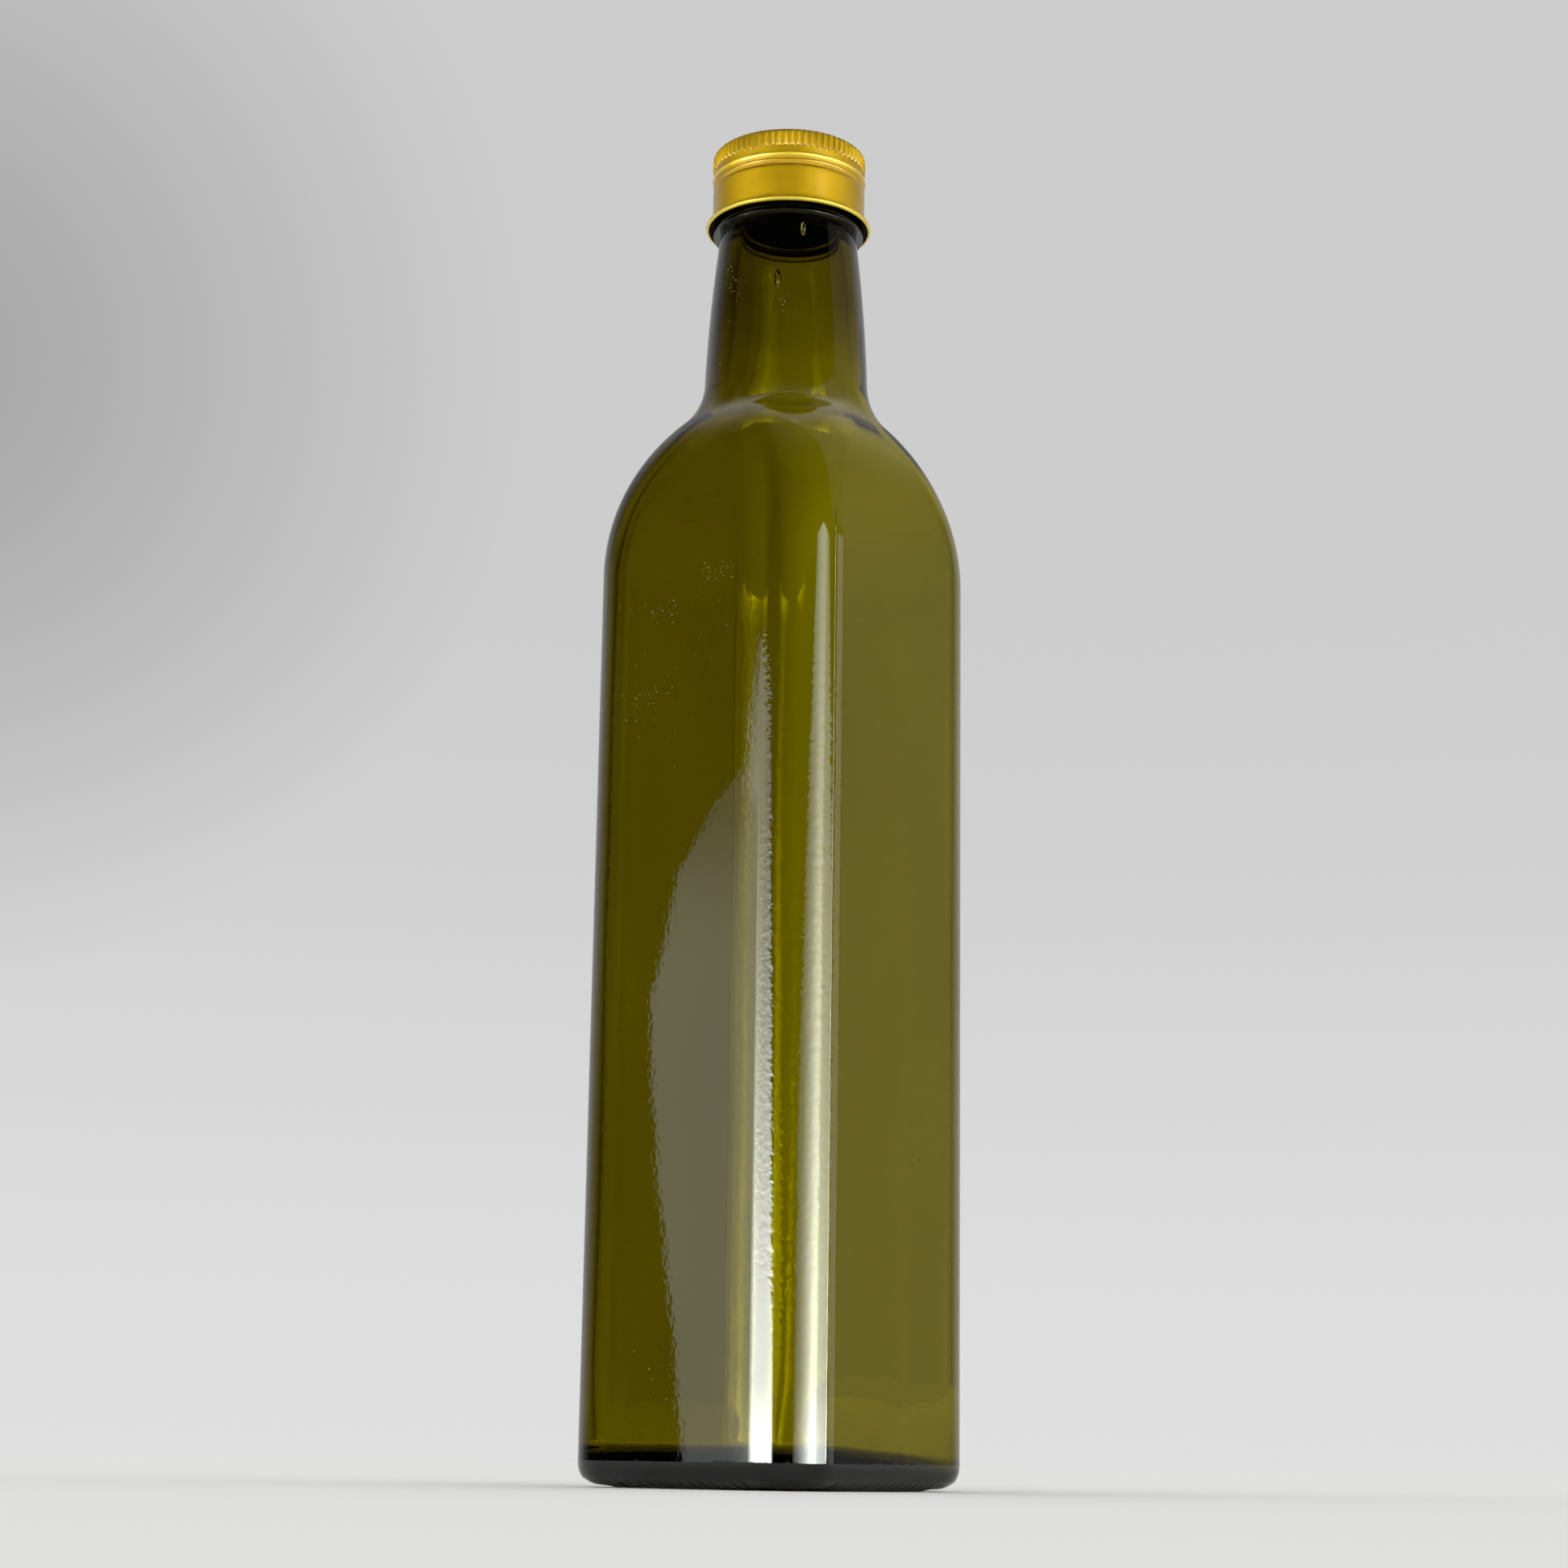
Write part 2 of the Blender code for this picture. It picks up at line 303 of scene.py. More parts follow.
def shoulder_and_neck():
    """Rings from the top of the square body to the top of the neck, each with the tilt of its wall."""
    path = shoulder_path()
    foot = path[-1][0]
    square = CORNER_RADIUS / (SIDE / 2)
    rings = []
    for height, reach, tilt in path:
        share = ((height - SHOULDER_START) / (foot - SHOULDER_START)) ** SHOULDER_BLEND
        roundness = square + (1 - square) * share**2 * (3 - 2 * share)
        half_width = reach / (ROOT_TWO - (ROOT_TWO - 1) * roundness)
        rings.append(((height, half_width, half_width * roundness), tilt))
    foot_radius = rings[-1][0][1]
    length = NECK_TOP - foot
    lean = -math.tan(NECK_TILT) * length
    bulge = NECK_TOP_RADIUS - foot_radius - lean
    for share in np.linspace(0.0, 1.0, 15)[1:]:
        radius = foot_radius + lean * share + bulge * share**2
        tilt = -math.atan((lean + 2 * bulge * share) / length)
        rings.append(((foot + length * share, radius, radius), tilt))
    return rings


def inset(ring, sideways, down):
    height, half_width, corner = ring
    return (height - down, half_width - sideways, corner - sideways)


def straight_heights(foot, top, count):
    """Heights up a straight wall, close together at its ends so that the curves there stay short."""
    near = (0.0003, 0.001, 0.003)
    middle = np.linspace(foot + near[-1], top - near[-1], count)[1:-1]
    return [foot + step for step in near] + list(middle) + [top - step for step in reversed(near)]


def outer_rings():
    """Under the base from near its middle, round the heel, up the body and neck, to the lip's bore."""
    band_edge = SIDE / 2 - HEEL_RADIUS - BEARING_WIDTH
    rings = []
    for share in (0.25, 0.5, 0.72, 0.88, 0.96, 1.0):
        half_width = band_edge * share
        rings.append((PUSH_UP * (1 - share**2), half_width, half_width * CORNER_RADIUS / (SIDE / 2)))
    for inwards in (HEEL_RADIUS + BEARING_WIDTH * 0.66, HEEL_RADIUS + BEARING_WIDTH * 0.33):
        rings.append((0.0, SIDE / 2 - inwards, CORNER_RADIUS - inwards * 0.8))
    for turn in np.linspace(0.0, QUARTER_TURN, 17):
        inwards = HEEL_RADIUS * (1 - math.sin(turn))
        rings.append((HEEL_RADIUS * (1 - math.cos(turn)), SIDE / 2 - inwards, CORNER_RADIUS - inwards))
    for height in straight_heights(HEEL_RADIUS, SHOULDER_START, 14):
        rings.append((height, SIDE / 2, CORNER_RADIUS))
    rings += [ring for ring, _ in shoulder_and_neck()]
    collar_top = NECK_TOP + COLLAR_HEIGHT
    lip_top = TOTAL_HEIGHT - CAP_SHEET - LIP_GAP
    bore = NECK_TOP_RADIUS - WALL
    profile = [
        (NECK_TOP, NECK_TOP_RADIUS + 0.00004),
        (NECK_TOP, COLLAR_RADIUS - 1.3 * COLLAR_ROUND),
        (NECK_TOP, COLLAR_RADIUS - COLLAR_ROUND),
        (NECK_TOP + 0.3 * COLLAR_ROUND, COLLAR_RADIUS - 0.3 * COLLAR_ROUND),
        (NECK_TOP + COLLAR_ROUND, COLLAR_RADIUS),
        (NECK_TOP + 1.3 * COLLAR_ROUND, COLLAR_RADIUS),
        (collar_top - 1.3 * COLLAR_ROUND, COLLAR_RADIUS),
        (collar_top - COLLAR_ROUND, COLLAR_RADIUS),
        (collar_top - 0.3 * COLLAR_ROUND, COLLAR_RADIUS - 0.3 * COLLAR_ROUND),
        (collar_top, COLLAR_RADIUS - COLLAR_ROUND),
        (collar_top + FINISH_FOOT, FINISH_RADIUS),
        (lip_top - LIP_ROUND, FINISH_RADIUS),
        (lip_top - 0.3 * LIP_ROUND, FINISH_RADIUS - 0.3 * LIP_ROUND),
        (lip_top, FINISH_RADIUS - LIP_ROUND),
        (lip_top, bore + LIP_ROUND),
        (lip_top - 0.3 * LIP_ROUND, bore + 0.3 * LIP_ROUND),
        (lip_top - LIP_ROUND, bore),
    ]
    return rings + [(height, radius, radius) for height, radius in profile]


def inner_rings():
    """The hollow, from the top of the neck down the wall and in across the floor."""
    rings = []
    for ring, tilt in reversed(shoulder_and_neck()):
        rings.append(inset(ring, WALL * math.cos(tilt), WALL * math.sin(tilt)))
    heel_top = FLOOR_THICKNESS + INNER_HEEL_RADIUS
    for height in reversed(straight_heights(heel_top, SHOULDER_START, 40)):
        rings.append((height, SIDE / 2 - WALL, CORNER_RADIUS - WALL))
    inner = (FLOOR_THICKNESS, SIDE / 2 - WALL, CORNER_RADIUS - WALL)
    for turn in np.linspace(0.0, QUARTER_TURN, 13):
        inwards = INNER_HEEL_RADIUS * (1 - math.cos(turn))
        rings.append(inset(inner, inwards, -INNER_HEEL_RADIUS * (1 - math.sin(turn))))
    edge = rings[-1]
    for share in (0.85, 0.6, 0.3):
        rings.append((edge[0] + FLOOR_CROWN * (1 - share**2), edge[1] * share, edge[2] * share))
    return rings


def ridge_height(x, y):
    """1 on top of a ridge and 0 between ridges and under the corners of the base."""
    on_x_side = np.abs(x) > np.abs(y)
    along = np.where(on_x_side, y, x)
    across = np.where(on_x_side, x, y)
    phase = (along - RIDGE_SLANT * across) / RIDGE_PITCH
    bump = np.abs(np.sin(np.pi * phase)) ** 0.7
    return bump * (np.abs(along) < RIDGE_STRIP)


def cut_base_ridges(points):
    """Lifts the base between the ridges, so that the bottle stands on their tops."""
    x, y, z = points[..., 0], points[..., 1], points[..., 2]
    span = np.maximum(np.abs(x), np.abs(y))
    under = np.clip((RIDGE_TOP - z) / RIDGE_TOP, 0.0, 1.0)
    on_band = np.clip((span - (SIDE / 2 - HEEL_RADIUS - BEARING_WIDTH)) / 0.001, 0.0, 1.0)
    lift = RIDGE_RISE * under**0.5 * on_band * (1 - ridge_height(x, y))
    points[..., 2] += lift
    return points


def wave_inner_wall(rings_of_points):
    """Moves the inner wall in and out a little, as the blown glass sets unevenly."""
    foot = shoulder_path()[-1][0]
    top = NECK_TOP + 0.01
    # Each is heights, and the share that applies there
    off_centre = (
        [FLOOR_THICKNESS, LOW_PART, SHOULDER_START, 0.197, foot, NECK_TOP, top],
        [0.3, 1.0, 1.0, 1.6, 1.1, 0.5, 0.0],
    )
    corner_pull = ([0.01, LOW_PART, SHOULDER_START, foot], [0.0, 1.0, 1.0, 0.0])
    neck_extra = ([foot - 0.004, 0.23, NECK_TOP, top], [0.0, 1.0, 1.0, 0.0])
    for row in rings_of_points:
        height = row[0][2]
        fade = min(1.0, max(0.0, (height - FLOOR_THICKNESS) / WAVE_FADE))
        ripple = max(0.0, 1 - height / LOW_PART) * RIPPLE_DEPTH
        offset = OFF_CENTRE * np.interp(height, *off_centre)
        pull = CORNER_PULL * np.interp(height, *corner_pull)
        extra = NECK_EXTRA * np.interp(height, *neck_extra)
        near_floor = max(0.0, 1 - (height - FLOOR_THICKNESS) / LOW_PART)
        for point in row:
            place = Vector(point)
            wave_place = Vector((place.x, place.y, place.z * WAVE_STRETCH)) / WAVE_LENGTH
            depth = WAVE_DEPTH * noise.noise(wave_place)
            depth += ripple * noise.noise(place / RIPPLE_LENGTH)
            reach = max(math.hypot(point[0], point[1]), 0.001)
            off_corner = abs(math.degrees(math.atan2(point[1], point[0])) - PULLED_CORNER)
            depth += pull * (0.5 + 0.5 * math.cos(math.pi * min(1.0, off_corner / PULL_WIDTH)))
            scale = 1 + (depth * fade - extra) / reach
            point[0] = point[0] * scale + offset
            point[1] = point[1] * scale + offset
            point[2] -= FLOOR_TILT * max(0.0, point[1] - TILT_START) * near_floor
    return rings_of_points


def close_rings(name, rings, bottom_middle, top_middle):
    """A closed mesh through rings of points, with a middle point before the first and after the last."""
    count = len(rings[0])
    verts = [tuple(point) for ring in rings for point in ring]
    first = len(verts)
    verts += [(0.0, 0.0, bottom_middle), (0.0, 0.0, top_middle)]
    faces = []
    last_row = (len(rings) - 1) * count
    for index in range(count):
        after = (index + 1) % count
        faces.append((first, after, index))
        faces.append((first + 1, last_row + index, last_row + after))
        for row in range(0, last_row, count):
            faces.append((row + index, row + after, row + count + after, row + count + index))
    mesh = bpy.data.meshes.new(name)
    mesh.from_pydata(verts, [], faces)
    mesh.update()
    return mesh


def add_blister(mesh_builder, centre, outward, half_sizes):
    """A closed bubble inside the wall, wound the other way round, because it is a hollow."""
    up = Vector((0, 0, 1))
    side = up.cross(outward).normalized()
    turn = Matrix((side, up, outward)).transposed().to_4x4()
    scale = Matrix.Diagonal((*half_sizes, 1.0))
    made = bmesh.ops.create_icosphere(
        mesh_builder, subdivisions=3, radius=1.0, matrix=Matrix.Translation(centre) @ turn @ scale
    )
    faces = {face for vert in made["verts"] for face in vert.link_faces}
    bmesh.ops.reverse_faces(mesh_builder, faces=list(faces))


def on_neck(angle, height, depth=0.0):
    """A point of the neck, this deep in its glass, and the direction out of it."""
    rings = shoulder_and_neck()
    radius = np.interp(height, [ring[0] for ring, _ in rings], [ring[1] for ring, _ in rings])
    outward = Vector((math.cos(angle), math.sin(angle), 0.0))
    return outward * (radius - depth) + Vector((0, 0, height)), outward


def make_bottle(glass):
    angles = column_angles()
    outer = cut_base_ridges(np.array([outline(angles, ring) for ring in outer_rings()]))
    inner = wave_inner_wall(np.array([outline(angles, ring) for ring in inner_rings()]))
    floor_middle = FLOOR_THICKNESS + FLOOR_CROWN
    mesh = close_rings("bottle_glass", [*outer, *inner], PUSH_UP, floor_middle)
    builder = bmesh.new()
    builder.from_mesh(mesh)
    for turn, height, sizes in BLISTERS:
        centre, outward = on_neck(CAMERA_ANGLE + math.radians(turn), height, BLISTER_DEPTH)
        add_blister(builder, centre, outward, sizes)
    builder.to_mesh(mesh)
    builder.free()
    mesh.shade_smooth()
    mesh.set_sharp_from_angle(angle=SHARP_EDGE)
    return add_piece("bottle_glass", mesh, glass, "bottle")


def dust_place(face, along, height):
    """A point on the outside of the glass, and the direction out of it."""
    if face == "neck":
        return on_neck(CAMERA_ANGLE + math.radians(along), height)
    if face == "left":
        return Vector((along / 1000, -SIDE / 2, height)), Vector((0, -1, 0))
    return Vector((SIDE / 2, along / 1000, height)), Vector((1, 0, 0))


def make_dust(dust):
    """Flat pale grains that rest on the glass, sunk a little into it."""
    chance = random.Random(DUST_SEED)
    builder = bmesh.new()
    for face, along, height, wide, tall, count in DUST:
        for _ in range(count):
            sideways = along + chance.gauss(0, wide / 2)
            if face != "neck":
                sideways = max(-DUST_EDGE, min(DUST_EDGE, sideways))
            middle, outward = dust_place(face, sideways, (height + chance.gauss(0, tall / 2)) / 1000)
            size = GRAIN_SIZE + GRAIN_SPREAD * chance.random() ** 3
            up = Vector((0, 0, 1))
            turn = Matrix((up.cross(outward), up, outward)).transposed().to_4x4()
            scale = Matrix.Diagonal((size, size * (0.7 + chance.random()), size * 0.5, 1.0))
            matrix = Matrix.Translation(middle) @ turn @ scale
            bmesh.ops.create_icosphere(builder, subdivisions=1, radius=1.0, matrix=matrix)
    mesh = bpy.data.meshes.new("dust_grains")
    builder.to_mesh(mesh)
    builder.free()
    return add_piece("dust_grains", mesh, dust)


# Cap

def cap_profile():
    """Radius, height and flute depth: down the outside, round the rolled rim and up the inside."""
    knurl_top = TOTAL_HEIGHT - CAP_EDGE_ROUND
    knurl_foot = knurl_top - KNURL_HEIGHT
    groove_top = knurl_foot - FLUTE_FOOT
    groove_foot = groove_top - GROOVE_HEIGHT
    bead_foot = groove_foot - BEAD_HEIGHT
    skirt_top = bead_foot - 2 * SKIRT_STEP
    skirt_foot = ROLL_BOTTOM + 3 * ROLL_RADIUS
    profile = [(radius, TOTAL_HEIGHT, 0.0) for radius in (0.004, 0.008, 0.0115, 0.0132)]
    for turn in np.linspace(QUARTER_TURN, 0.0, 10):
        radius = CAP_RADIUS - CAP_EDGE_ROUND + CAP_EDGE_ROUND * math.cos(turn)
        share = min(1.0, max(0.0, (QUARTER_TURN - turn) / QUARTER_TURN * 1.3 - 0.15))
        profile.append((radius, knurl_top + CAP_EDGE_ROUND * math.sin(turn), RIDGE_DEPTH * share))
    for share in (0.2, 0.4, 0.55, FLUTE_END):
        profile.append((CAP_RADIUS, knurl_top - (knurl_top - groove_top) * share, RIDGE_DEPTH))
    for turn in np.linspace(0.0, QUARTER_TURN, 9)[1:]:
        left = math.cos(turn)
        height = knurl_top - (knurl_top - groove_top) * (FLUTE_END + (1 - FLUTE_END) * math.sin(turn))
        profile.append((CAP_RADIUS - RIDGE_DEPTH * (1 - left), height, RIDGE_DEPTH * left))
    for share in (0.05, 0.3, 0.6, 0.85, 0.95):
        profile.append((CAP_RADIUS - RIDGE_DEPTH, groove_top - GROOVE_HEIGHT * share, 0.0))
    for share, rise in BEAD:
        profile.append((GROOVE_RADIUS + rise, groove_foot - BEAD_HEIGHT * share, 0.0))
    for share in (0.3, 0.6, 0.85, 1.0):
        radius = GROOVE_RADIUS + (SKIRT_RADIUS - GROOVE_RADIUS) * math.sin(QUARTER_TURN * share)
        profile.append((radius, bead_foot + (skirt_top - bead_foot) * share, 0.0))
    for share in np.linspace(0.0, 1.0, 9)[1:]:
        profile.append((SKIRT_RADIUS, skirt_top + (skirt_foot - skirt_top) * share, 0.0))
    centre_radius = ROLL_OUTER_RADIUS - ROLL_RADIUS
    centre_height = ROLL_BOTTOM + ROLL_RADIUS
    profile.append((SKIRT_RADIUS + 0.00012, skirt_foot - 0.00025, 0.0))
    profile.append((SKIRT_RADIUS + 0.00042, skirt_foot - 0.00042, 0.0))
    for turn in np.linspace(math.radians(85), math.radians(-180), 18):
        radius = centre_radius + ROLL_RADIUS * math.cos(turn)
        profile.append((radius, centre_height + ROLL_RADIUS * math.sin(turn), 0.0))
    skirt_bore = SKIRT_RADIUS - CAP_SHEET
    ceiling = TOTAL_HEIGHT - CAP_SHEET
    return profile + [
        (skirt_bore + 0.0003, skirt_foot - 0.0003, 0.0),
        (skirt_bore, skirt_foot, 0.0),
        (skirt_bore, bead_foot - BORE_STEP, 0.0),
        (CAP_BORE_RADIUS, bead_foot, 0.0),
        (CAP_BORE_RADIUS, ceiling - BORE_ROUND, 0.0),
        (CAP_BORE_RADIUS - BORE_ROUND, ceiling, 0.0),
    ]


def make_cap(gold, inside):
    count = CAP_RIDGES * FLUTE_POINTS
    turns = 2 * np.pi * np.arange(count) / count
    flute = (0.5 - 0.5 * np.cos(CAP_RIDGES * turns)) ** 0.8
    rings = []
    for radius, height, depth in cap_profile():
        reach = radius - depth * flute
        rings.append(np.stack([reach * np.cos(turns), reach * np.sin(turns), np.full(count, height)], 1))
    mesh = close_rings("screw_cap", rings, TOTAL_HEIGHT, TOTAL_HEIGHT - CAP_SHEET)
    builder = bmesh.new()
    builder.from_mesh(mesh)
    bmesh.ops.recalc_face_normals(builder, faces=builder.faces)
    builder.to_mesh(mesh)
    builder.free()
    mesh.shade_smooth()
    mesh.set_sharp_from_angle(angle=SHARP_EDGE)
    piece = add_piece("screw_cap", mesh, gold, "cap")
    # Painted shade: the inward faces of the cap and the underside of its top take the dark grey inside
    # material, where little light reaches
    mesh.materials.append(inside)
    roll_top = ROLL_BOTTOM + 2 * ROLL_RADIUS
    for face in mesh.polygons:
        inwards = -(face.normal.x * face.center.x + face.normal.y * face.center.y) / face.center.xy.length
        if inwards > 0.3 or (face.center.z > roll_top and face.normal.z < -0.9):
            face.material_index = 1
    return piece


# Materials

def bottle_glass():
    """Soda-lime bottle glass, blown in a mould: a mirror-smooth skin with a faint orange peel that ripples
    the edges of reflections, mould seams down two corners, and an olive that deepens with thickness."""
    material, tree, shader = new_material("olive_green_glass_blown")
    shader.inputs["Roughness"].default_value = 0.0
    shader.inputs["IOR"].default_value = 1.52
    shader.inputs["Transmission Weight"].default_value = 1.0
    place = add_node(tree, "ShaderNodeTexCoord")
    split = add_node(tree, "ShaderNodeSeparateXYZ", {"Vector": place.outputs["Object"]})
    drawn = add_node(tree, "ShaderNodeMapping", {
        "Vector": place.outputs["Object"], "Scale": PEEL_PER_METRE})
    peel = add_node(tree, "ShaderNodeTexNoise", {
        "Vector": drawn.outputs["Vector"], "Scale": 1.0, "Detail": 1.5})
    sag = add_node(tree, "ShaderNodeTexNoise", {
        "Vector": place.outputs["Object"], "Scale": SAG_PER_METRE, "Detail": 0.0})

    # How strong the peel is
    cornering = add_node(tree, "ShaderNodeMath", {
        0: split.outputs["X"], 1: split.outputs["Y"]}, operation="MULTIPLY")
    cornering = add_node(tree, "ShaderNodeMath", {0: cornering.outputs[0]}, operation="ABSOLUTE")
    on_corners = add_node(tree, "ShaderNodeMapRange", {
        "Value": cornering.outputs[0], "From Min": CORNER_BEGINS[0], "From Max": CORNER_BEGINS[1],
        "To Min": PEEL_FAINT, "To Max": 1.0})
    off_middle = add_node(tree, "ShaderNodeMath", {
        0: split.outputs["Z"], 1: PEEL_MIDDLE}, operation="SUBTRACT")
    off_middle = add_node(tree, "ShaderNodeMath", {0: off_middle.outputs[0]}, operation="ABSOLUTE")
    near_middle = add_node(tree, "ShaderNodeMapRange", {
        "Value": off_middle.outputs[0], "From Min": PEEL_REACH[0], "From Max": PEEL_REACH[1],
        "To Min": 1.0, "To Max": PEEL_FAINT})
    strength = add_node(tree, "ShaderNodeMath", {
        0: on_corners.outputs["Result"], 1: near_middle.outputs["Result"]}, operation="MINIMUM")
    peel_bump = add_node(tree, "ShaderNodeBump", {
        "Height": peel.outputs["Fac"], "Distance": PEEL_DEPTH, "Strength": strength.outputs[0]})
    sag_bump = add_node(tree, "ShaderNodeBump", {
        "Height": sag.outputs["Fac"], "Distance": SAG_DEPTH, "Normal": peel_bump.outputs["Normal"]})

    # A seam down the front and the back corner, on the outside only, with a darker line along it
    side = add_node(tree, "ShaderNodeMath", {0: split.outputs["X"]}, operation="SIGN")
    off_seam = add_node(tree, "ShaderNodeMath", {
        0: split.outputs["Y"], 1: side.outputs[0], 2: SEAM_PLACE}, operation="MULTIPLY_ADD")
    off_seam = add_node(tree, "ShaderNodeMath", {0: off_seam.outputs[0]}, operation="ABSOLUTE")
    seam = add_node(tree, "ShaderNodeMapRange", {
        "Value": off_seam.outputs[0], "From Min": 0.0, "From Max": SEAM_WIDTH,
        "To Min": 1.0, "To Max": 0.0})
    reach = add_node(tree, "ShaderNodeMath", {0: split.outputs["X"]}, operation="ABSOLUTE")
    outside = add_node(tree, "ShaderNodeMath", {
        0: reach.outputs[0], 1: SIDE / 2 - 0.0005}, operation="GREATER_THAN")
    seam = add_node(tree, "ShaderNodeMath", {
        0: seam.outputs["Result"], 1: outside.outputs[0]}, operation="MULTIPLY")
    seam_bump = add_node(tree, "ShaderNodeBump", {
        "Height": seam.outputs[0], "Distance": SEAM_RISE, "Normal": sag_bump.outputs["Normal"]})
    tree.links.new(seam_bump.outputs["Normal"], shader.inputs["Normal"])
    # The glass's base colour is darkened along the seam line
    seam_darkening = add_node(tree, "ShaderNodeValToRGB", {"Fac": seam.outputs[0]}, stops=[(0.0, 1.0), (1.0, 0.3)])
    tree.links.new(seam_darkening.outputs["Color"], shader.inputs["Base Color"])

    # The colour is in the thickness of the glass: red and green pass almost alike, and blue not at all
    colour = add_node(tree, "ShaderNodeVolumeAbsorption", {
        "Color": (0.82, 0.797, 0.0, 1.0), "Density": 1500.0})
    tree.links.new(colour.outputs["Volume"], tree.nodes["Material Output"].inputs["Volume"])
    return material


def lacquered_aluminium():
    """Aluminium sheet with a gold lacquer, drawn and spun: a satin sheen along fine turning lines, and a
    painted
    highlight in the colour: a paler gold where the bead, the ribs and the rolled rim stand out."""
    material, tree, shader = new_material("gold_lacquered_aluminium_spun")
    place = add_node(tree, "ShaderNodeTexCoord")
    stretch = add_node(tree, "ShaderNodeMapping", {
        "Vector": place.outputs["Object"], "Scale": LINES_PER_METRE})
    lines = add_node(tree, "ShaderNodeTexNoise", {
        "Vector": stretch.outputs["Vector"], "Scale": 1.0, "Detail": 2.0})
    cloud = add_node(tree, "ShaderNodeTexNoise", {
        "Vector": place.outputs["Object"], "Scale": 160.0, "Detail": 2.0})
    tint = add_node(tree, "ShaderNodeValToRGB", {"Fac": cloud.outputs["Fac"]}, stops=[
        (0.3, linear("ba930a")), (0.7, linear("c39c12"))])
    across = add_node(tree, "ShaderNodeVectorMath", {
        0: place.outputs["Object"], 1: (1.0, 1.0, 0.0)}, operation="MULTIPLY")
    radius = add_node(tree, "ShaderNodeVectorMath", {0: across.outputs["Vector"]}, operation="LENGTH")
    # Painted highlight: past these radii the base colour turns paler gold, on the raised bead, ribs and rolled
    # rim
    painted_highlight = add_node(tree, "ShaderNodeMapRange", {
        "Value": radius.outputs["Value"], "From Min": PAINTED_HIGHLIGHT_RADIUS[0], "From Max": PAINTED_HIGHLIGHT_RADIUS[1]})
    lacquer = add_node(tree, "ShaderNodeMix", {
        "Factor": painted_highlight.outputs["Result"], 6: tint.outputs["Color"], 7: (*linear("e8ce42"), 1.0)},
        data_type="RGBA")
    tree.links.new(lacquer.outputs[2], shader.inputs["Base Color"])
    rough = add_node(tree, "ShaderNodeMapRange", {
        "Value": lines.outputs["Fac"], "From Min": 0.3, "From Max": 0.7, "To Min": 0.57, "To Max": 0.65})
    tree.links.new(rough.outputs["Result"], shader.inputs["Roughness"])
    bump = add_node(tree, "ShaderNodeBump", {"Height": lines.outputs["Fac"], "Distance": LINE_DEPTH})
    tree.links.new(bump.outputs["Normal"], shader.inputs["Normal"])
    shader.inputs["Metallic"].default_value = 1.0
    shader.inputs["Coat Weight"].default_value = 1.0
    shader.inputs["Coat Roughness"].default_value = 0.2
    shader.inputs["Coat IOR"].default_value = 1.45
    return material


def painted_shade_lining():
    """The inside of the cap, painted a dull dark grey with faint mottling as painted shade, where little light
    gets in.
    """
    material, tree, shader = new_material("cap_inside_painted_shade")
    place = add_node(tree, "ShaderNodeTexCoord")
    mottle = add_node(tree, "ShaderNodeTexNoise", {
        "Vector": place.outputs["Object"], "Scale": 900.0, "Detail": 2.0})
    tint = add_node(tree, "ShaderNodeValToRGB", {"Fac": mottle.outputs["Fac"]}, stops=[
        (0.3, linear("141311")), (0.7, linear("24211d"))])
    tree.links.new(tint.outputs["Color"], shader.inputs["Base Color"])
    shader.inputs["Roughness"].default_value = 0.8
    return material


def pale_dust():
    """Dry household dust: matt grains, each a slightly different pale olive grey."""
    material, tree, shader = new_material("household_dust_pale")
    place = add_node(tree, "ShaderNodeTexCoord")
    blend = add_node(tree, "ShaderNodeTexNoise", {
        "Vector": place.outputs["Object"], "Scale": 700.0, "Detail": 1.0})
    tint = add_node(tree, "ShaderNodeValToRGB", {"Fac": blend.outputs["Fac"]}, stops=[
        (0.3, linear("6f6c3c")), (0.7, linear("a9a678"))])
    tree.links.new(tint.outputs["Color"], shader.inputs["Base Color"])
    shader.inputs["Roughness"].default_value = 0.9
    return material


def floor_paint():
    """Matt white studio floor."""
    material, tree, shader = new_material("studio_floor_matt_paint")
    shader.inputs["Base Color"].default_value = (*linear("e6e6e4"), 1.0)
    shader.inputs["Roughness"].default_value = 0.9
    shader.inputs["Specular IOR Level"].default_value = 0.0
    return material


# Stage

def make_floor():
    builder = bmesh.new()
    bmesh.ops.create_circle(builder, cap_ends=True, segments=96, radius=6.0)
    mesh = bpy.data.meshes.new("studio_floor")
    builder.to_mesh(mesh)
    builder.free()
    mesh.materials.append(floor_paint())
    floor = bpy.data.objects.new("studio_floor", mesh)
    bpy.context.scene.collection.objects.link(floor)


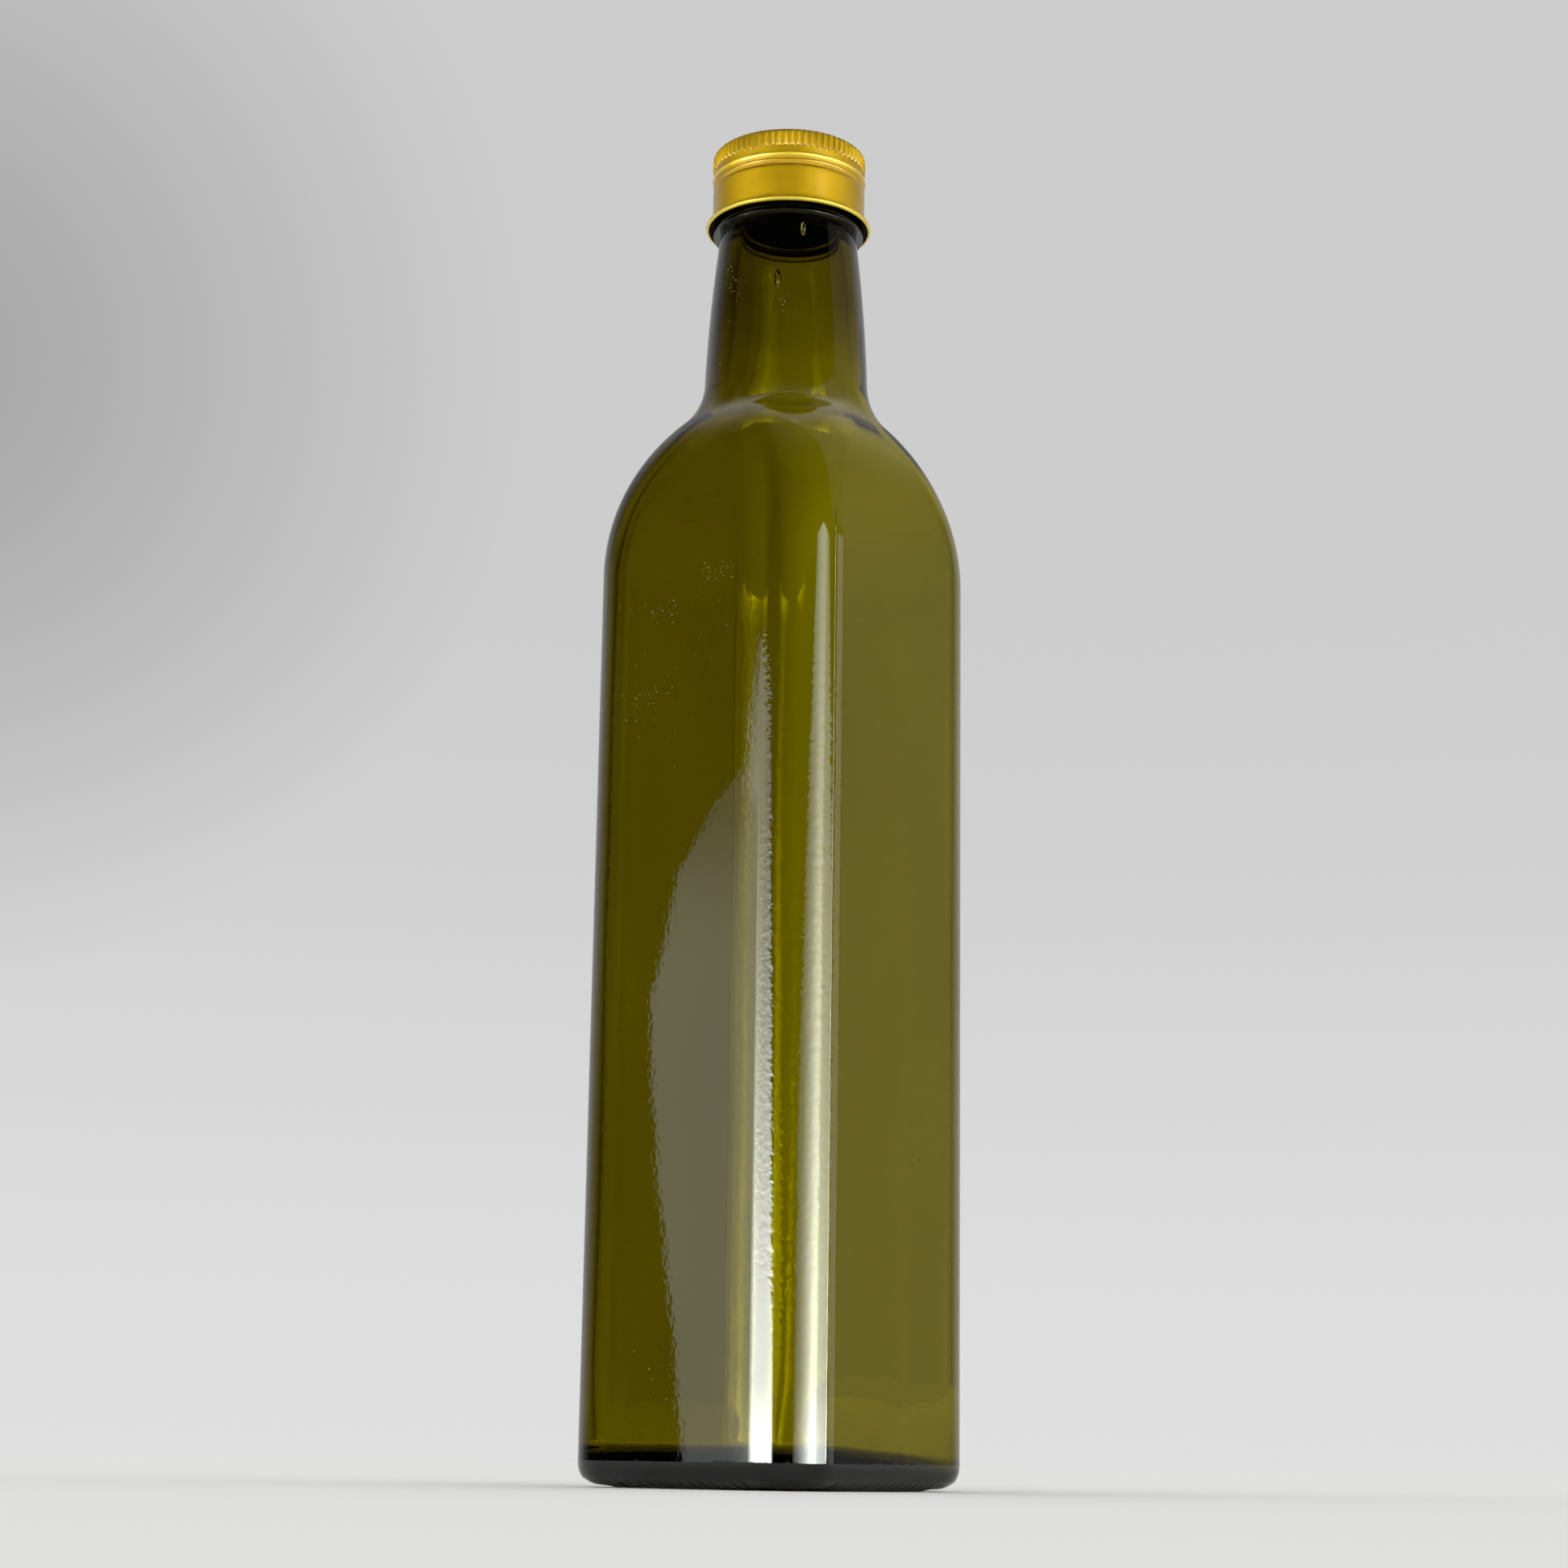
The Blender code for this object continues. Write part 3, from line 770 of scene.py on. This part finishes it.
def make_studio_air():
    """The studio round the bottle: a pale room to look at, and in reflections two tall graded light panels,
    a dark side behind the camera and a pale far side and ceiling."""
    world = bpy.data.worlds.new("studio")
    bpy.context.scene.world = world
    world.use_nodes = True
    world.cycles.sampling_method = "NONE"
    tree = world.node_tree
    tree.nodes.clear()
    place = add_node(tree, "ShaderNodeTexCoord")
    turned = add_node(tree, "ShaderNodeMapping", {
        "Vector": place.outputs["Generated"], "Rotation": (0.0, 0.0, -CAMERA_ANGLE)})
    split = add_node(tree, "ShaderNodeSeparateXYZ", {"Vector": turned.outputs["Vector"]})
    round_angle = add_node(tree, "ShaderNodeMath", {
        0: split.outputs["Y"], 1: split.outputs["X"]}, operation="ARCTAN2")
    rise_angle = add_node(tree, "ShaderNodeMath", {0: split.outputs["Z"]}, operation="ARCSINE")
    azimuth = add_node(tree, "ShaderNodeMath", {
        0: round_angle.outputs[0], 1: math.degrees(1)}, operation="MULTIPLY")
    elevation = add_node(tree, "ShaderNodeMath", {
        0: rise_angle.outputs[0], 1: math.degrees(1)}, operation="MULTIPLY")
    az, el = azimuth.outputs[0], elevation.outputs[0]
    low = add_node(tree, "ShaderNodeMath", {0: el, 1: PANEL_RISE}, operation="DIVIDE").outputs[0]

    # Left panel: its inner edge leans away with height, and its outer edge is soft near the foot
    lean = add_node(tree, "ShaderNodeValToRGB", {"Fac": low}, stops=[
        (0.0, 0.26), (0.075, 0.27), (0.3, 0.36), (0.45, 0.41), (0.615, 0.485), (0.7, 0.51), (0.735, 0.54),
        (0.77, 0.64), (0.79, 0.8)])
    inner_edge = add_node(tree, "ShaderNodeMath", {
        0: lean.outputs["Color"], 1: -100.0}, operation="MULTIPLY")
    inside = add_node(tree, "ShaderNodeMath", {0: inner_edge.outputs[0], 1: az}, operation="SUBTRACT")
    near_side = add_node(tree, "ShaderNodeMapRange", {
        "Value": inside.outputs[0], "From Min": 0.0, "From Max": 6.0}, interpolation_type="SMOOTHSTEP")
    outer_edge = add_node(tree, "ShaderNodeMapRange", {
        "Value": el, "From Min": 13.0, "From Max": 16.0, "To Min": 77.0, "To Max": 76.7})
    softness = add_node(tree, "ShaderNodeMapRange", {
        "Value": el, "From Min": 0.0, "From Max": 12.8, "To Min": 7.0, "To Max": 0.25})
    far_side = add_node(tree, "ShaderNodeMath", {0: az, 1: outer_edge.outputs["Result"]}, operation="ADD")
    far_side = add_node(tree, "ShaderNodeMath", {
        0: far_side.outputs[0], 1: softness.outputs["Result"]}, operation="DIVIDE", use_clamp=True)
    left_level = add_node(tree, "ShaderNodeValToRGB", {"Fac": low}, stops=[
        (0.0, 1.0), (0.03, 0.95), (0.075, 0.67), (0.15, 0.63), (0.3, 0.4), (0.45, 0.215), (0.5, 0.175),
        (0.615, 0.1), (0.7, 0.09), (0.75, 0.08), (0.79, 0.047)])
    left = add_node(tree, "ShaderNodeMath", {
        0: near_side.outputs["Result"], 1: far_side.outputs[0]}, operation="MULTIPLY")
    left = add_node(tree, "ShaderNodeMath", {
        0: left.outputs[0], 1: left_level.outputs["Color"]}, operation="MULTIPLY")
    left = add_node(tree, "ShaderNodeMath", {0: left.outputs[0], 1: LEFT_PANEL_LIGHT}, operation="MULTIPLY")

    # Dim scattered light beyond the left panel, with a slanting edge
    spill_edge = add_node(tree, "ShaderNodeValToRGB", {"Fac": low}, stops=[
        (0.0, 0.779), (0.075, 0.7805), (0.34, 0.7865), (0.44, 0.787), (0.485, 0.785), (0.555, 0.7825),
        (0.615, 0.776), (0.65, 0.771), (0.67, 0.769)])
    beyond = add_node(tree, "ShaderNodeMath", {
        0: spill_edge.outputs["Color"], 1: 100.0, 2: az}, operation="MULTIPLY_ADD")
    spill_level = add_node(tree, "ShaderNodeValToRGB", {"Fac": low}, stops=[
        (0.475, 1.0), (0.54, 0.8), (0.61, 0.42), (0.66, 0.35), (0.72, 0.0)])
    spill = add_node(tree, "ShaderNodeMapRange", {
        "Value": beyond.outputs[0], "From Min": -0.03, "From Max": 0.07, "To Max": SPILL_LIGHT})
    spill = add_node(tree, "ShaderNodeMath", {
        0: spill.outputs["Result"], 1: spill_level.outputs["Color"]}, operation="MULTIPLY")
    spill_front = add_node(tree, "ShaderNodeMapRange", {"Value": az, "From Min": -73.0, "From Max": -75.0})
    spill = add_node(tree, "ShaderNodeMath", {
        0: spill.outputs[0], 1: spill_front.outputs["Result"]}, operation="MULTIPLY")

    # Right panel: a full middle, a greyer far part, and edges that slant together to a point at the top;
    # beyond it a sliver of pale wall
    across = add_node(tree, "ShaderNodeMath", {0: az, 1: RIGHT_PANEL_SPAN}, operation="DIVIDE")
    right_shape = add_node(tree, "ShaderNodeValToRGB", {"Fac": across.outputs[0]}, stops=[
        (0.09, 0.0), (0.14, 0.08), (0.2, 0.15), (0.245, 0.25), (0.29, 0.37), (0.354, 0.6), (0.42, 0.93),
        (0.5, 1.0), (0.525, 0.58), (0.6, 0.46), (0.66, 0.42), (0.735, 0.33), (0.76, 0.0)])
    right_level = add_node(tree, "ShaderNodeValToRGB", {"Fac": low}, stops=[
        (0.0, 1.0), (0.03, 0.95), (0.075, 0.62), (0.15, 0.58), (0.3, 0.44), (0.45, 0.34), (0.5, 0.295),
        (0.615, 0.225), (0.695, 0.2), (0.77, 0.17), (0.85, 0.15), (1.0, 0.14)])
    off_point = add_node(tree, "ShaderNodeMath", {0: az, 1: RIGHT_PANEL_POINT}, operation="SUBTRACT")
    off_point = add_node(tree, "ShaderNodeMath", {0: off_point.outputs[0]}, operation="ABSOLUTE")
    under_point = add_node(tree, "ShaderNodeMath", {
        0: off_point.outputs[0], 1: 0.4, 2: el}, operation="MULTIPLY_ADD")
    pointed = add_node(tree, "ShaderNodeMapRange", {
        "Value": under_point.outputs[0], "From Min": 23.2, "From Max": 22.4})
    right = add_node(tree, "ShaderNodeMath", {
        0: right_shape.outputs["Color"], 1: right_level.outputs["Color"]}, operation="MULTIPLY")
    right = add_node(tree, "ShaderNodeMath", {
        0: right.outputs[0], 1: pointed.outputs["Result"]}, operation="MULTIPLY")
    right = add_node(tree, "ShaderNodeMath", {
        0: right.outputs[0], 1: RIGHT_PANEL_LIGHT}, operation="MULTIPLY")
    sliver = add_node(tree, "ShaderNodeValToRGB", {"Fac": across.outputs[0]}, stops=[
        (0.765, 0.0), (0.785, 1.0), (0.9, 1.0), (0.93, 0.0)])
    low_down = add_node(tree, "ShaderNodeMapRange", {
        "Value": el, "From Min": 19.0, "From Max": 17.7, "To Max": SLIVER_LIGHT})
    right = add_node(tree, "ShaderNodeMath", {
        0: sliver.outputs["Color"], 1: low_down.outputs["Result"], 2: right.outputs[0]},
        operation="MULTIPLY_ADD")
    panels = add_node(tree, "ShaderNodeMath", {0: left.outputs[0], 1: right.outputs[0]}, operation="ADD")
    panels = add_node(tree, "ShaderNodeMath", {0: panels.outputs[0], 1: spill.outputs[0]}, operation="ADD")

    # The pale far side, a dim ceiling, and the greyer wall on the right, which comes forward higher up
    off_front = add_node(tree, "ShaderNodeMath", {0: az}, operation="ABSOLUTE")
    far = add_node(tree, "ShaderNodeMapRange", {
        "Value": off_front.outputs[0], "From Min": 98.0, "From Max": 142.0},
        interpolation_type="SMOOTHSTEP")
    top = add_node(tree, "ShaderNodeMapRange", {
        "Value": el, "From Min": 58.0, "From Max": 80.0, "To Max": 0.15}, interpolation_type="SMOOTHSTEP")
    wall_edge = add_node(tree, "ShaderNodeMapRange", {
        "Value": el, "From Min": 19.0, "From Max": 25.0, "To Min": 102.5, "To Max": 72.0})
    past_edge = add_node(tree, "ShaderNodeMath", {
        0: az, 1: wall_edge.outputs["Result"]}, operation="SUBTRACT")
    wall = add_node(tree, "ShaderNodeMapRange", {
        "Value": past_edge.outputs[0], "From Min": 0.0, "From Max": 1.5, "To Max": 0.42})
    high = add_node(tree, "ShaderNodeMath", {0: el, 1: 90.0}, operation="DIVIDE")
    rise_level = add_node(tree, "ShaderNodeValToRGB", {"Fac": high.outputs[0]}, stops=[
        (0.178, 1.0), (0.355, 0.55), (0.44, 0.6), (0.55, 1.0)])
    pale = add_node(tree, "ShaderNodeMath", {
        0: far.outputs["Result"], 1: wall.outputs["Result"]}, operation="MAXIMUM")
    pale = add_node(tree, "ShaderNodeMath", {
        0: pale.outputs[0], 1: rise_level.outputs["Color"]}, operation="MULTIPLY")
    pale = add_node(tree, "ShaderNodeMath", {
        0: pale.outputs[0], 1: top.outputs["Result"]}, operation="MAXIMUM")
    room = add_node(tree, "ShaderNodeMapRange", {
        "Value": pale.outputs[0], "To Min": DARK_ROOM, "To Max": PALE_ROOM})
    mirrored = add_node(tree, "ShaderNodeVectorMath", {
        0: panels.outputs[0], 1: PANEL_TINT, 2: room.outputs["Result"]}, operation="MULTIPLY_ADD")

    # The backdrop: palest at the foot, with a soft shade high on one side
    foot = add_node(tree, "ShaderNodeMapRange", {
        "Value": el, "From Min": 17.0, "From Max": -2.0, "To Min": 0.0, "To Max": 0.14},
        interpolation_type="SMOOTHSTEP")
    shade_way = add_node(tree, "ShaderNodeVectorMath", {
        0: turned.outputs["Vector"], 1: BACKDROP_SHADE_WAY}, operation="DOT_PRODUCT")
    off_shade = add_node(tree, "ShaderNodeMath", {0: shade_way.outputs["Value"]}, operation="ARCCOSINE")
    shade = add_node(tree, "ShaderNodeMapRange", {
        "Value": off_shade.outputs[0], "From Min": 0.05, "From Max": 0.21, "To Min": 0.4, "To Max": 0.61})
    backdrop = add_node(tree, "ShaderNodeMath", {
        0: shade.outputs["Result"], 1: foot.outputs["Result"]}, operation="ADD")

    # What shines through the glass: the pale far side and the panels, of the left one only its near part
    near_part = add_node(tree, "ShaderNodeMapRange", {"Value": az, "From Min": -60.0, "From Max": -56.0})
    left_through = add_node(tree, "ShaderNodeMath", {
        0: left.outputs[0], 1: near_part.outputs["Result"]}, operation="MULTIPLY")
    shining = add_node(tree, "ShaderNodeMath", {
        0: left_through.outputs[0], 1: right.outputs[0]}, operation="ADD")
    high_up = add_node(tree, "ShaderNodeValToRGB", {"Fac": high.outputs[0]}, stops=[
        (0.24, 0.62), (0.285, 0.72), (0.33, 0.95)])
    far_room = add_node(tree, "ShaderNodeMath", {
        0: far.outputs["Result"], 1: high_up.outputs["Color"]}, operation="MULTIPLY")
    shaded = add_node(tree, "ShaderNodeMapRange", {
        "Value": off_shade.outputs[0], "From Min": 0.05, "From Max": 0.25, "To Min": 0.7, "To Max": 1.0})
    far_room = add_node(tree, "ShaderNodeMath", {
        0: far_room.outputs[0], 1: shaded.outputs["Result"]}, operation="MULTIPLY")
    far_room = add_node(tree, "ShaderNodeMath", {0: far_room.outputs[0], 1: DARK_ROOM}, operation="MAXIMUM")
    through = add_node(tree, "ShaderNodeVectorMath", {
        0: shining.outputs[0], 1: PANEL_TINT, 2: far_room.outputs[0]}, operation="MULTIPLY_ADD")

    # A ray that has passed through clear glass counts as glossy too, so transmission comes last
    ray = add_node(tree, "ShaderNodeLightPath")
    light = add_node(tree, "ShaderNodeMix", {
        "Factor": ray.outputs["Is Diffuse Ray"], 6: backdrop.outputs[0],
        7: (SOFT_FILL, SOFT_FILL, SOFT_FILL, 1.0)}, data_type="RGBA")
    light = add_node(tree, "ShaderNodeMix", {
        "Factor": ray.outputs["Is Glossy Ray"], 6: light.outputs[2], 7: mirrored.outputs["Vector"]},
        data_type="RGBA")
    light = add_node(tree, "ShaderNodeMix", {
        "Factor": ray.outputs["Is Transmission Ray"], 6: light.outputs[2], 7: through.outputs["Vector"]},
        data_type="RGBA")
    background = add_node(tree, "ShaderNodeBackground", {"Color": light.outputs[2], "Strength": 1.0})
    add_node(tree, "ShaderNodeOutputWorld", {"Surface": background.outputs["Background"]})


def make_camera():
    """The photograph's own view: close to the bottle, near its foot, looking up."""
    ahead = Vector((
        math.sin(CAMERA_PAN) * math.cos(CAMERA_PITCH),
        math.cos(CAMERA_PAN) * math.cos(CAMERA_PITCH),
        math.sin(CAMERA_PITCH),
    ))
    level = Vector((math.cos(CAMERA_PAN), -math.sin(CAMERA_PAN), 0.0))
    upright = level.cross(ahead)
    right = math.cos(CAMERA_ROLL) * level + math.sin(CAMERA_ROLL) * upright
    up = math.cos(CAMERA_ROLL) * upright - math.sin(CAMERA_ROLL) * level
    turn = Matrix.Rotation(CAMERA_ANGLE + QUARTER_TURN, 4, "Z")
    data = bpy.data.cameras.new("camera")
    data.lens = CAMERA_LENS
    data.sensor_width = 36.0
    data.clip_start = 0.01
    camera = bpy.data.objects.new("camera", data)
    bpy.context.scene.collection.objects.link(camera)
    aim = Matrix((right, up, -ahead)).transposed().to_4x4()
    camera.matrix_world = turn @ Matrix.Translation((0.0, -CAMERA_DISTANCE, CAMERA_HEIGHT)) @ aim
    bpy.context.scene.camera = camera


make_camera()
make_bottle(bottle_glass())
make_cap(lacquered_aluminium(), painted_shade_lining())
make_dust(pale_dust())
make_floor()
make_studio_air()
bpy.context.scene.view_settings.view_transform = "Standard"
